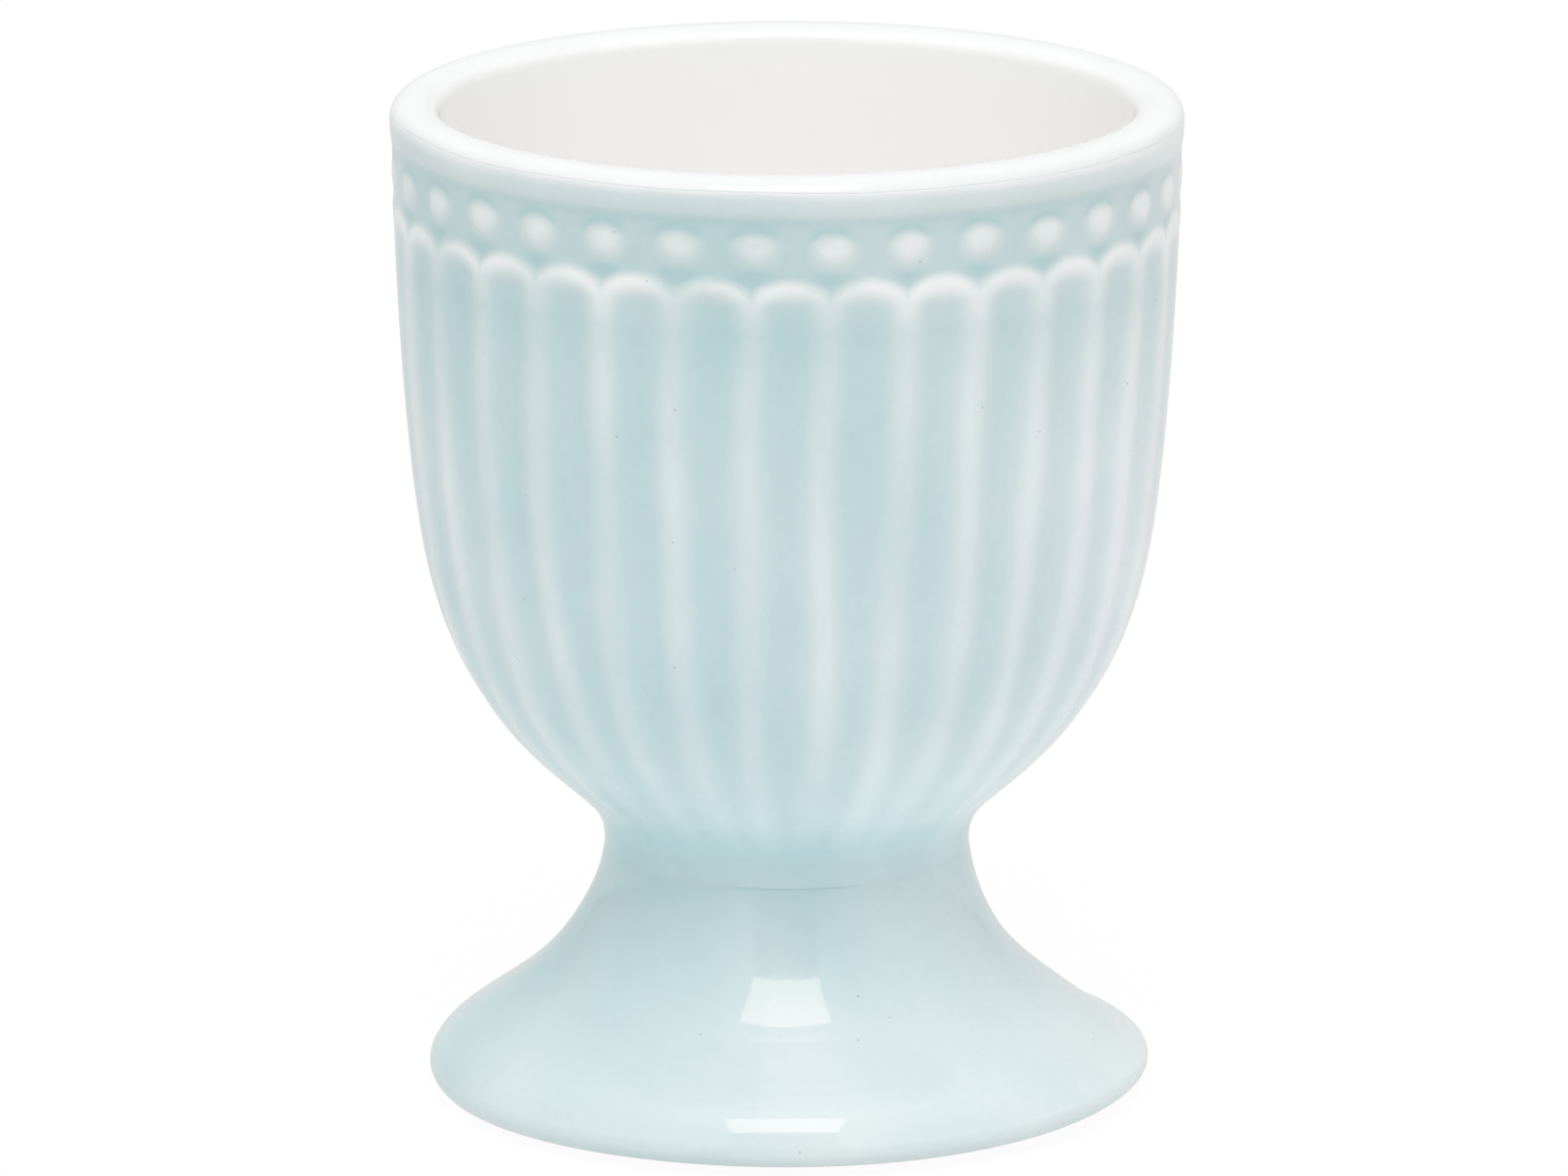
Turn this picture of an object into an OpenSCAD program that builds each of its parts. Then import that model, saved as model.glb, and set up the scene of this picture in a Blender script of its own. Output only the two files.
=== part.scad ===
// Footed egg cup: a fluted bowl with a row of beads under a plain collar,
// luted to a flared hollow foot. Millimetres, +Z up. The origin is on the
// standing plane, on the axis of the cup.

/* [Cup] */
// Height from the standing plane to the crest of the lip
cup_h = 65; // [58:1:75]
// Outer diameter just under the lip
rim_d = 50.6; // [46:0.2:56]
// Wall of the bowl at the lip, glaze lining included
wall = 3.1; // [2.7:0.1:3.5]
// Height of the rounded lip above the straight wall
lip_h = 1.3; // [1:0.1:1.6]
// Solid clay between the joint and the floor of the cavity
floor_t = 6.2; // [5:0.1:8]

/* [Waist] */
// Diameter of the waist, where bowl and foot are joined
waist_d = 23.5; // [21:0.5:26]
// Height of the waist above the standing plane
waist_z = 16; // [14.5:0.5:18]
// Thickness of the slip that lutes bowl and foot together
slip_t = 0.4; // [0.2:0.1:0.8]
// How far the slip stays back from the surface, which leaves a fine crease
slip_inset = 0.15; // [0.05:0.05:0.3]

/* [Flutes] */
// Number of flutes around the bowl, with one bead above each ridge
flute_count = 32; // [24:1:36]
// Depth of a flute below its ridges, at full width
flute_depth = 0.4; // [0.25:0.05:0.7]
// Bare height between the waist and the lower ends of the flutes
flute_gap = 2.9; // [2:0.1:4]
// Height over which the flutes deepen from their lower ends
flute_fade = 6; // [4:0.5:8]
// Rise of the round arch that closes each flute at its top
arch_rise = 1.35; // [1:0.05:1.8]

/* [Bead band] */
// Height of the plain collar between the lip and the bead band
collar_h = 1.2; // [1:0.1:1.6]
// Height of the sunk band, from the arch crests to the collar
band_h = 4.35; // [4.2:0.05:5]
// Depth of the sunk band
band_depth = 0.35; // [0.25:0.05:0.6]
// Width of the soft step along each edge of the band
band_step = 0.6; // [0.4:0.05:0.7]
// Diameter of a bead
bead_d = 2.7; // [2.2:0.1:2.9]
// Height of a bead above the floor of the band
bead_h = 0.4; // [0.3:0.05:0.65]
// Height of the bead centres above the arch crests
bead_rise = 2.25; // [2.1:0.05:2.3]

/* [Glaze lining] */
// Thickness of the white glaze inside the bowl and over the lip
lining_t = 0.3; // [0.2:0.05:0.5]
// Angle at which the white glaze ends on the outside of the lip, above the level
lining_angle = 20; // [10:1:35]

/* [Foot] */
// Outer diameter of the flared foot
foot_d = 46.6; // [42:0.2:50]
// Thickness of the rounded edge of the foot
foot_edge = 2.4; // [1.6:0.1:2.6]
// Clay left between the hollow of the foot and the waist
foot_web = 6.4; // [5:0.1:8]
// Outer diameter of the bare ring that the cup stands on
ring_d = 39.6; // [37:0.2:40.6]
// Width of the bare ring
ring_w = 2.4; // [1.8:0.1:3]
// Height of the bare ring
ring_h = 0.6; // [0.4:0.1:1]
// Size of the worn corners of the bare ring
ring_corner = 0.2; // [0.1:0.05:0.3]

/* [Hidden] */
$fn = 96;

blue_glaze = [0.74, 0.85, 0.86];
bead_glaze = [0.86, 0.92, 0.92];
white_glaze = [0.97, 0.97, 0.96];
bare_clay = [0.93, 0.91, 0.88];

// Columns of the fluted surface in one flute, and how many of them meet one
// column of the plain inner surface
flute_steps = 6;
inner_share = 3;
outer_cols = flute_count * flute_steps;
inner_cols = outer_cols / inner_share;

// Curve steps between two control points of an outline
curve_steps = 6;
foot_curve_steps = 4;
cavity_curve_steps = 2;

rim_r = rim_d / 2;
waist_r = waist_d / 2;
foot_r = foot_d / 2;
lip_z = cup_h - lip_h;
lip_r = rim_r - wall / 2;
slip_top_z = waist_z + slip_t / 2;
slip_low_z = waist_z - slip_t / 2;
floor_z = slip_top_z + floor_t;
bowl_span = lip_z - slip_top_z;

collar_z = lip_z - collar_h;
arch_top_z = collar_z - band_h;
arch_z = arch_top_z - arch_rise;
bead_z = arch_top_z + bead_rise;
flute_low_z = waist_z + flute_gap;

// Outside of the bowl: shares of the way from the waist to the rim radius,
// and of the height from the joint to the lip
bowl_shares = [
    [0, 0], [0.002, 0.023], [0.05, 0.055], [0.23, 0.097], [0.465, 0.16],
    [0.67, 0.244], [0.83, 0.36], [0.91, 0.508], [0.96, 0.686],
    [0.985, 0.855], [1, 1]
];
// Inside of the bowl: shares of the inner lip radius, and of the height from
// the floor to the lip
cavity_shares = [
    [0, 0], [0.24, 0.005], [0.46, 0.03], [0.64, 0.08], [0.79, 0.165],
    [0.89, 0.29], [0.945, 0.45], [0.975, 0.64], [0.99, 0.83], [1, 1]
];
// Outside of the foot: shares of the way from the waist to the edge radius,
// and of the height from the edge to the joint
foot_shares = [
    [0, 1], [0.032, 0.859], [0.136, 0.669], [0.265, 0.498], [0.47, 0.345], [0.65, 0.238]
];
// The full shoulder over the foot's edge: the slope at which it runs into the
// edge, and its length as a share of the edge's radius
shoulder_slope = 28;
shoulder_share = 1.5;
// Hollow under the foot: shares of the inner radius of the bare ring, and of
// the height from that ring to the top of the hollow
hollow_shares = [
    [1, 0], [0.97, 0.17], [0.86, 0.37], [0.7, 0.56], [0.5, 0.8], [0.25, 0.98], [0, 1]
];
// Heights of the straight rows of the fluted surface, as shares of the way
// from the joint to the lower ends of the arches
row_shares = [0, 0.03, 0.065, 0.1, 0.14, 0.19, 0.265, 0.37, 0.52, 0.72, 0.94];
// Heights of the rows that follow the arches, as shares of the arch rise
arch_row_shares = [-0.75, -0.35, 0, 0.22, 0.45];
// How much of the round of an arch its rows follow at the ridges
arch_follow_share = 0.85;
// Shape of a flute across its width: 1 is a round gouge, more is a softer ridge
flute_power = 1.8;

function ramp(t) = let (s = min(1, max(0, t))) s * s * (3 - 2 * s);

function spline_point(p, i, t) =
    ((1 - t) ^ 3 * p[i] + (3 * t ^ 3 - 6 * t ^ 2 + 4) * p[i + 1]
    + (3 * t - 3 * t ^ 3 + 3 * t ^ 2 + 1) * p[i + 2] + t ^ 3 * p[i + 3]) / 6;

// Smooth curve that starts at the first point, ends at the last one and is
// drawn towards those between them
function curve(points, steps) =
    let (last = points[len(points) - 1])
    let (p = concat([points[0], points[0]], points, [last, last]))
    concat(
        [for (i = [0 : len(p) - 4], k = [0 : steps - 1]) spline_point(p, i, k / steps)],
        [last]);

function arc(r, z, rx, rz, from, to, steps) =
    [for (k = [0 : steps]) let (a = from + (to - from) * k / steps)
        [r + rx * cos(a), z + rz * sin(a)]];

function reversed(list) = [for (i = [len(list) - 1 : -1 : 0]) list[i]];
function tail(list) = [for (i = [1 : len(list) - 1]) list[i]];

bowl_curve = curve(
    [for (s = bowl_shares) [waist_r + (rim_r - waist_r) * s[0], slip_top_z + bowl_span * s[1]]],
    curve_steps);
bowl_radii = [for (p = bowl_curve) [p[1], p[0]]];
function bowl_r(z) = lookup(z, bowl_radii);

// Inside of the bowl, from the floor to the lip, set back by a thickness
function cavity_curve(back) = curve(
    [for (s = cavity_shares) [
        (rim_r - wall + back) * s[0],
        floor_z - back + (lip_z - floor_z + back) * s[1]]],
    cavity_curve_steps);

// Round of the lip, set back by a thickness, from the outside over the crest
// to the inside
function lip_arc(back, steps) =
    let (across = wall / 2 - back, up = lip_h - back)
    concat(
        arc(lip_r, lip_z, across, up, lining_angle, 90, steps),
        tail(arc(lip_r, lip_z, across, up, 90, 180, steps)));

// Depth of the pattern at a height, where across runs from -1 to 1 between
// the two ridges of a flute
function flute_reach(across, z) = norm([across, max(0, z - arch_z) / arch_rise]);
function flute_cut(reach, z) =
    reach >= 1 ? 0 : flute_depth * (bowl_r(z) / rim_r)
        * ramp((z - flute_low_z) / flute_fade) * (1 - reach ^ 2) ^ flute_power;
function band_cut(reach, z) =
    band_depth * ramp((reach - 1) * arch_rise / band_step)
        * (1 - ramp((z - collar_z) / band_step + 1 / 2));
function pattern_cut(across, z) =
    let (reach = flute_reach(across, z)) flute_cut(reach, z) + band_cut(reach, z);

function arch_row_z(across, share) =
    arch_z + arch_rise * (sqrt(1 - arch_follow_share * across ^ 2) + share);

// The bowl's outside, one ring of points for each row. The column in the
// middle of a flute faces -Y.
function across_of(col) = let (k = col % flute_steps) 2 * k / flute_steps - 1;
function col_angle(col, cols) = 360 * col / cols - 90 - 180 / flute_count;
function on_angle(r, z, a) = [r * cos(a), r * sin(a), z];
function wall_point(col, z) = on_angle(
    bowl_r(z) - pattern_cut(across_of(col), z), z, col_angle(col, outer_cols));

straight_rows = [for (s = row_shares) slip_top_z + (arch_z - slip_top_z) * s];
band_rows = [collar_z - band_step / 2, collar_z, collar_z + band_step / 2, lip_z];
outer_lip = [lip_r + wall / 2 * cos(lining_angle), lip_z + lip_h * sin(lining_angle)];
outer_rings = concat(
    [for (z = straight_rows) [for (c = [0 : outer_cols - 1]) wall_point(c, z)]],
    [for (s = arch_row_shares) [for (c = [0 : outer_cols - 1])
        wall_point(c, arch_row_z(across_of(c), s))]],
    [for (z = band_rows) [for (c = [0 : outer_cols - 1]) wall_point(c, z)]],
    [[for (c = [0 : outer_cols - 1])
        on_angle(outer_lip[0], outer_lip[1], col_angle(c, outer_cols))]]);

// The bowl's inside, under the lining. Inward faces get their flats, and not
// their corners, on the lining.
lip_steps = 2;
flat_scale = 1 / cos(180 / inner_cols);
under_lip = lip_arc(lining_t, lip_steps);
under_wall = reversed(cavity_curve(lining_t));
under_profile = concat(
    [for (p = under_lip) [p[0] * (p[0] > lip_r ? 1 : flat_scale), p[1]]],
    [for (i = [1 : len(under_wall) - 2]) [under_wall[i][0] * flat_scale, under_wall[i][1]]]);
inner_rings = [for (p = under_profile)
    [for (c = [0 : inner_cols - 1]) on_angle(p[0], p[1], col_angle(c, inner_cols))]];

module bowl() {
    outer_count = len(outer_rings);
    inner_count = len(inner_rings);
    inner_start = outer_count * outer_cols;
    top_start = inner_start - outer_cols;
    last_start = inner_start + (inner_count - 1) * inner_cols;
    base_mid = inner_start + inner_count * inner_cols;
    floor_mid = base_mid + 1;
    points = concat(
        [for (ring = outer_rings) each ring],
        [for (ring = inner_rings) each ring],
        [[0, 0, slip_top_z], [0, 0, under_wall[len(under_wall) - 1][1]]]);
    outer_faces = [for (i = [0 : outer_count - 2], c = [0 : outer_cols - 1])
        let (a = i * outer_cols + c, b = i * outer_cols + (c + 1) % outer_cols)
        each [[a, a + outer_cols, b], [b, a + outer_cols, b + outer_cols]]];
    step_faces = [for (c = [0 : inner_cols - 1])
        let (o = [for (k = [0 : inner_share]) top_start + (inner_share * c + k) % outer_cols])
        let (a = inner_start + c, b = inner_start + (c + 1) % inner_cols)
        each [[o[0], a, o[1]], [o[1], a, b], [o[1], b, o[2]], [o[2], b, o[3]]]];
    inner_faces = [for (i = [0 : inner_count - 2], c = [0 : inner_cols - 1])
        let (a = inner_start + i * inner_cols + c)
        let (b = inner_start + i * inner_cols + (c + 1) % inner_cols)
        each [[a, a + inner_cols, b], [b, a + inner_cols, b + inner_cols]]];
    floor_faces = [for (c = [0 : inner_cols - 1])
        [last_start + c, floor_mid, last_start + (c + 1) % inner_cols]];
    base_faces = [for (c = [0 : outer_cols - 1]) [c, (c + 1) % outer_cols, base_mid]];
    color(blue_glaze)
        polyhedron(points, concat(outer_faces, step_faces, inner_faces, floor_faces, base_faces));
}

// One bead, with its flat back on the XY plane
module bead() {
    ball_r = (bead_h ^ 2 + (bead_d / 2) ^ 2) / (2 * bead_h);
    intersection() {
        translate([0, 0, bead_h - ball_r]) sphere(ball_r);
        cylinder(d = bead_d * 2, h = bead_h * 2);
    }
}

// The beads sit flat on the sunk band, one above each ridge, square to the
// slight taper of the wall
module bead_row() {
    top_r = bowl_r(bead_z + bead_d / 2);
    low_r = bowl_r(bead_z - bead_d / 2);
    taper = atan((top_r - low_r) / bead_d);
    seat_r = (top_r + low_r) / 2 - band_depth;
    color(bead_glaze)
        for (k = [0 : flute_count - 1])
            rotate([0, 0, col_angle(k * flute_steps, outer_cols)])
                translate([seat_r, 0, bead_z]) rotate([0, 90 + taper, 0]) bead();
}

module lining() {
    outside = concat(lip_arc(0, lip_steps * 2), tail(reversed(cavity_curve(0))));
    inside = concat(cavity_curve(lining_t), tail(reversed(under_lip)));
    color(white_glaze) rotate_extrude() polygon(concat(outside, inside));
}

module slip_joint() {
    color(bare_clay) translate([0, 0, slip_low_z]) cylinder(r = waist_r - slip_inset, h = slip_t);
}

module foot() {
    edge_r = foot_edge / 2;
    edge_mid_r = foot_r - edge_r;
    edge_mid_z = ring_h + edge_r;
    ring_r = ring_d / 2;
    hollow_r = ring_r - ring_w;
    hollow_h = slip_low_z - foot_web - ring_h;
    edge = arc(edge_mid_r, edge_mid_z, edge_r, edge_r, shoulder_slope, -90, 12);
    shoulder = edge_r * shoulder_share;
    flare_h = slip_low_z - edge_mid_z;
    flare = curve(
        concat(
            [for (s = foot_shares)
                [waist_r + (foot_r - waist_r) * s[0], edge_mid_z + flare_h * s[1]]],
            [edge[0] + shoulder * [-sin(shoulder_slope), cos(shoulder_slope)], edge[0]]),
        foot_curve_steps);
    hollow = curve(
        [for (s = hollow_shares) [hollow_r * s[0], ring_h + hollow_h * s[1]]],
        foot_curve_steps);
    color(blue_glaze) rotate_extrude()
        polygon(concat([[0, slip_low_z]], flare, tail(edge), hollow));
}

module foot_ring() {
    outer = ring_d / 2;
    inner = outer - ring_w;
    color(bare_clay) rotate_extrude() polygon([
        [inner, ring_h], [inner, ring_corner], [inner + ring_corner, 0],
        [outer - ring_corner, 0], [outer, ring_corner], [outer, ring_h]]);
}

bowl();
bead_row();
lining();
slip_joint();
foot();
foot_ring();
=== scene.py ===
import math

import bpy
import numpy as np
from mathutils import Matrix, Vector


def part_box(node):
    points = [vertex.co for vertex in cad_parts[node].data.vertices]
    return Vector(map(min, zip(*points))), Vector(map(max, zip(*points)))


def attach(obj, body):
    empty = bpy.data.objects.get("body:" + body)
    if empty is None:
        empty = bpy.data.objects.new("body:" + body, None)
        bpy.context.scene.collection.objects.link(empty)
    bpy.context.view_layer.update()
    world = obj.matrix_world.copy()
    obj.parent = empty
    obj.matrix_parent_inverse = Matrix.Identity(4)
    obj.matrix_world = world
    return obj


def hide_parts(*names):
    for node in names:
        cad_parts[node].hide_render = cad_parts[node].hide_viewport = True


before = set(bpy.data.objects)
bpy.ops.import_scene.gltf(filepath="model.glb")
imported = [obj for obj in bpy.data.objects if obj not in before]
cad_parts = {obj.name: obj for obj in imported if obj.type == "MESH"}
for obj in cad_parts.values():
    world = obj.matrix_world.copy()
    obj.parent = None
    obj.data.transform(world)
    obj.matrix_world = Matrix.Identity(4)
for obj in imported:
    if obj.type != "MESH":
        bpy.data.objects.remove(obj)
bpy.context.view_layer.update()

# A footed egg cup: a fluted bowl in pale blue glaze with a row of beads under
# its collar, lined white over the lip, on a flared foot with a bare ring.
# Every size below is in millimetres, and MM is one millimetre in metres.
MM = 0.001
TINY = 1e-6
random_source = np.random.default_rng(7)


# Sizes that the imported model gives

def node_top(node):
    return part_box(node)[1].z / MM


def node_bottom(node):
    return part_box(node)[0].z / MM


def node_radius(node):
    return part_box(node)[1].x / MM


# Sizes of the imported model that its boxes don't show

SLIP_INSET = 0.15
LIP_H = 1.3
WALL = 3.1
LINING_T = 0.3
LINING_ANGLE = 20.0
FOOT_WEB = 6.4
RING_W = 2.4
RING_CORNER = 0.2

cup_h = node_top("lining")
rim_r = node_radius("bowl")
waist_r = node_radius("slip_joint") + SLIP_INSET
slip_top_z = node_bottom("bowl")
slip_low_z = node_top("foot")
foot_r = node_radius("foot")
ring_r = node_radius("foot_ring")
ring_h = node_bottom("foot")
floor_z = node_bottom("lining") + LINING_T
bead_z = (node_top("bead_row") + node_bottom("bead_row")) / 2
lip_z = cup_h - LIP_H
lip_r = rim_r - WALL / 2

# The relief of the bowl

FLUTES = 32
FLUTE_DEPTH = 0.4
FLUTE_POWER = 2.0
FLUTE_GAP = 2.9
FLUTE_FADE = 6.0
ARCH_RISE = 1.65
ARCH_STEP = 0.8
COLLAR_H = 1.2
COLLAR_STEP = 1.0
BAND_H = 4.35
BAND_DEPTH = 0.35
BEAD_D = 2.7
BEAD_H = 0.4
BEAD_POWER = 1.3
# The lip's round is a little fuller than an ellipse, whose power is 2
LIP_POWER = 2.3

# How much of the clay's relief is left over the glaze that fills it, in front
# and at the two seams of the mould, which were wiped flat, how narrow the
# seams are, and how far the glaze rounds off every edge of the clay
GLAZE_KEEPS = 0.75
SEAM_KEEPS = 0.3
SEAM_POWER = 8
GLAZE_SOFTENS = 0.2
# The relief and the glaze line lean a little to one side, in mm per mm of x
RELIEF_LEAN = -0.0066
# Hand finish: the flutes sit a little to one side of the beads and turn
# further below the arches, each ridge wanders, the wall swells and shrinks
# between the joint and the lip, and the edge of the white glaze wavers
FLUTE_SHIFT = math.radians(-0.6)
FLUTE_TWIST = math.radians(-0.75)
TWIST_FADE = 10.0
RIDGE_WANDER = 0.17
WALL_SWELL = 0.03
SWELL_FADE_LOW = 4.0
SWELL_FADE_HIGH = 3.0
EDGE_WAVER = 0.04
# How far each bead strays across and up, how much beads differ in width and
# height, and how squat all of them are
BEAD_STRAYS_ACROSS = 0.06
BEAD_STRAYS_UP = 0.05
BEAD_WIDTH_VARIES = 0.035
BEAD_HEIGHT_VARIES = 0.03
BEAD_SQUAT = 0.95

collar_z = lip_z - COLLAR_H
arch_top_z = collar_z - BAND_H
arch_z = arch_top_z - ARCH_RISE
flute_low_z = slip_top_z + FLUTE_GAP

bowl_shares = [
    [0, 0], [0.002, 0.023], [0.05, 0.055], [0.23, 0.097], [0.465, 0.16],
    [0.67, 0.244], [0.83, 0.36], [0.91, 0.508], [0.96, 0.686],
    [0.985, 0.855], [1, 1],
]
cavity_shares = [
    [0, 0], [0.24, 0.005], [0.46, 0.03], [0.64, 0.08], [0.79, 0.165],
    [0.89, 0.29], [0.945, 0.45], [0.975, 0.64], [0.99, 0.83], [1, 1],
]
hollow_shares = [
    [1, 0], [0.97, 0.17], [0.86, 0.37], [0.7, 0.56], [0.5, 0.8], [0.25, 0.98], [0, 1],
]


# Curves and small helpers

def ramp(t):
    s = np.clip(t, 0, 1)
    return s * s * (3 - 2 * s)


def blend(a, b, share):
    return a + (b - a) * share


def bell(distance, width):
    """Bell curve that is 1 in its middle and falls to about a third at its width."""
    return np.exp(-(distance / width) ** 2)


def at_height(table, z):
    heights, values = zip(*table)
    return np.interp(z, heights, values)


def curve(points, steps):
    """Smooth curve from the first point to the last, drawn towards those between."""
    p = np.array([points[0]] * 2 + list(points) + [points[-1]] * 2, dtype=float)
    out = []
    for i in range(len(p) - 3):
        for k in range(steps):
            t = k / steps
            out.append((
                (1 - t) ** 3 * p[i] + (3 * t ** 3 - 6 * t ** 2 + 4) * p[i + 1]
                + (3 * t - 3 * t ** 3 + 3 * t ** 2 + 1) * p[i + 2] + t ** 3 * p[i + 3]) / 6)
    return np.array(out + [p[-1]])


def arc(r, z, radius, start, end, steps):
    a = np.radians(np.linspace(start, end, steps + 1))
    return np.column_stack([r + radius * np.cos(a), z + radius * np.sin(a)])


CURVE_STEPS = 8
bowl_curve = curve(
    [(waist_r + (rim_r - waist_r) * s, slip_top_z + (lip_z - slip_top_z) * t)
     for s, t in bowl_shares], CURVE_STEPS)


def bowl_radius(z):
    return np.interp(z, bowl_curve[:, 1], bowl_curve[:, 0])


def cavity_curve(back, steps):
    """The inside of the cup from its floor to its lip, set back into the wall."""
    return curve(
        [((rim_r - WALL + back) * s, floor_z - back + (lip_z - floor_z + back) * t)
         for s, t in cavity_shares], steps)


def waves(count, low, high, climb):
    """Sum of random slow waves round the cup, which shift as they climb it."""
    turns = random_source.integers(low, high, count)
    phases = random_source.uniform(0, 2 * math.pi, count)

    def total(angle, z):
        parts = (np.sin(n * angle + phase + z / climb) for n, phase in zip(turns, phases))
        return sum(parts) / math.sqrt(count)

    return total


wall_waves = waves(5, 2, 9, climb=9.0)
wander_waves = waves(6, 5, 17, climb=4.0)
edge_waves = waves(5, 3, 14, climb=1.0)
cloud_waves = waves(6, 2, 12, climb=5.0)
bead_changes = random_source.normal(0, 1, (FLUTES, 4))
ridge_waves = waves(6, 6, 20, climb=7.0)


# Height of the relief over the smooth wall, with angles in radians

def lean(angle, z):
    return RELIEF_LEAN * bowl_radius(z) * np.cos(angle)


def flute_turn(angle):
    """Number of flutes round the cup up to an angle, whole between two flutes."""
    return (angle + math.pi / 2) * FLUTES / (2 * math.pi) + 1 / 2


def flute_side(angle, z):
    """Place across a flute, from -1 to 1 between its two ridges."""
    below = ramp((arch_z - z) / TWIST_FADE)
    wander = RIDGE_WANDER / rim_r * wander_waves(angle, z)
    turn = flute_turn(angle - (FLUTE_SHIFT + below * (FLUTE_TWIST + wander)))
    return 2 * (turn - np.floor(turn)) - 1


def flute_place(angle, z):
    """Share of the way out of a flute, and the distance past its outline in mm."""
    across = flute_side(angle, z)
    rise = np.maximum(0, z - lean(angle, z) - arch_z) / ARCH_RISE
    reach = np.hypot(across, rise)
    flute_half_w = math.pi * bowl_radius(z) / FLUTES
    slope = np.hypot(across / flute_half_w, rise / ARCH_RISE) / np.maximum(reach, TINY)
    return reach, (reach - 1) / np.maximum(slope, TINY)


def clay_relief(angle, z):
    pattern_z = z - lean(angle, z)
    reach, beyond = flute_place(angle, z)
    depth = FLUTE_DEPTH * bowl_radius(z) / rim_r * ramp((pattern_z - flute_low_z) / FLUTE_FADE)
    flute = depth * np.clip(1 - reach ** 2, 0, 1) ** FLUTE_POWER
    band = BAND_DEPTH * ramp(beyond / ARCH_STEP) * (
        1 - ramp((pattern_z - collar_z) / COLLAR_STEP + 1 / 2))
    return -flute - band


def bead_angle(index):
    return math.radians(360 * index / FLUTES - 90 - 180 / FLUTES)


def bead_place(angle, z):
    """Distance from the nearest bead's middle across and up, no two beads quite alike."""
    turn = flute_turn(angle)
    nearest = np.round(turn)
    change = bead_changes[np.mod(nearest.astype(int), FLUTES)]
    off = (turn - nearest) * 2 * math.pi / FLUTES * bowl_radius(z)
    off = off + BEAD_STRAYS_ACROSS * change[..., 0]
    rise = z - lean(angle, z) - bead_z + BEAD_STRAYS_UP * change[..., 1]
    return (off / (1 + BEAD_WIDTH_VARIES * change[..., 2]),
            rise / (BEAD_SQUAT + BEAD_HEIGHT_VARIES * change[..., 3]))


def bead_relief(angle, z):
    """Height of the beads over the floor of the band."""
    distance = np.hypot(*bead_place(angle, z)) / (BEAD_D / 2)
    return BEAD_H * np.clip(1 - distance ** 2, 0, 1) ** BEAD_POWER


# Maps over the unrolled bowl of the relief under its coat of glaze

MAP_CELL = 0.1
# Rows are counted up to just short of the last, so that each has one above it
LAST_ROW = 1.001
BLUR_REACH = 3
map_cols = round(2 * math.pi * rim_r / MAP_CELL)
map_rows = round((lip_z - slip_top_z) / MAP_CELL)


def blurred(field, spread):
    """Gaussian blur by a spread in mm, wrapped round the cup."""
    cells = spread / MAP_CELL
    reach = int(BLUR_REACH * cells)
    weights = np.exp(-np.arange(-reach, reach + 1) ** 2 / (2 * cells ** 2))
    weights /= weights.sum()
    wide = sum(w * np.roll(field, k - reach, axis=1) for k, w in enumerate(weights))
    padded = np.pad(wide, ((reach, reach), (0, 0)), mode="edge")
    return sum(w * padded[k:k + field.shape[0]] for k, w in enumerate(weights))


def map_value(field, angle, z):
    col = np.mod(angle / (2 * math.pi), 1) * map_cols
    row = np.clip((z - slip_top_z) / MAP_CELL, 0, map_rows - LAST_ROW)
    c, r = np.floor(col).astype(int), np.floor(row).astype(int)
    u, v = col - c, row - r
    c, d = c % map_cols, (c + 1) % map_cols
    low = field[r, c] * (1 - u) + field[r, d] * u
    high = field[r + 1, c] * (1 - u) + field[r + 1, d] * u
    return low * (1 - v) + high * v


map_angle, map_z = np.meshgrid(
    np.arange(map_cols) * 2 * math.pi / map_cols, slip_top_z + np.arange(map_rows) * MAP_CELL)
clay = clay_relief(map_angle, map_z)
kept = blend(GLAZE_KEEPS, SEAM_KEEPS, np.abs(np.cos(map_angle)) ** SEAM_POWER)
wall_map = blurred(clay * kept, GLAZE_SOFTENS)
beaded_map = blurred((clay + bead_relief(map_angle, map_z)) * kept, GLAZE_SOFTENS)


def wall_radius(relief_map, angle, z):
    """Radius of the glazed wall, with its relief and its slow swells."""
    swell = WALL_SWELL * wall_waves(angle, z)
    swell = swell * ramp((z - slip_top_z) / SWELL_FADE_LOW) * ramp((lip_z - z) / SWELL_FADE_HIGH)
    return bowl_radius(z) + map_value(relief_map, angle, z) + swell


# Thickness of the glaze, where 0 is a pale film and 1 is a deep pool. It runs
# off what stands proud and pools between. First what lies on the bottom of a
# flute or on the foot, at heights in mm, and how much thinner a ridge is.
hollow_thickness = [
    (16.2, 0.55), (18.5, 0.56), (20.5, 0.5), (23, 0.57), (26, 0.66), (30, 0.72),
    (40, 0.74), (52, 0.8), (55, 0.9), (57, 0.8)]
ridge_thinning = [
    (17, 0), (21, 0.14), (27, 0.24), (40, 0.26), (50, 0.31), (55, 0.27), (57, 0.44),
    (58.2, 0.73)]
collar_thickness = [
    (61.9, 0.94), (62.2, 0.88), (62.4, 0.76), (62.7, 0.57), (63.3, 0.52),
    (63.65, 0.44), (63.95, 0.22), (64.2, 0.0)]
foot_thickness = [
    (0.6, 0.42), (2.2, 0.38), (4.5, 0.29), (6.5, 0.33), (9, 0.4), (11.5, 0.5),
    (14, 0.55), (15.8, 0.56)]
# Painted shade at the foot's two sides as seen: how much more glaze it is given there, which darkens
# them, and below 2 mm less, as painted light
foot_side_painted_shading = [(1, -0.12), (2, -0.03), (4, 0.13), (8, 0.19), (12, 0.06), (14, 0)]
# How much less it holds in front: up to a height, and round an angle to the right of the front
FOOT_FRONT_THIN = 0.045
FRONT_TOP_Z = 12.0
FRONT_FADE = 4.0
FRONT_TURN = 0.09
FRONT_HALF_TURN = 0.5
# The thin glaze of a ridge, across it, and how much ridges differ
RIDGE_HALF_W = 1.1
RIDGE_POWER = 2.3
RIDGE_UNEVEN = 0.16
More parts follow.
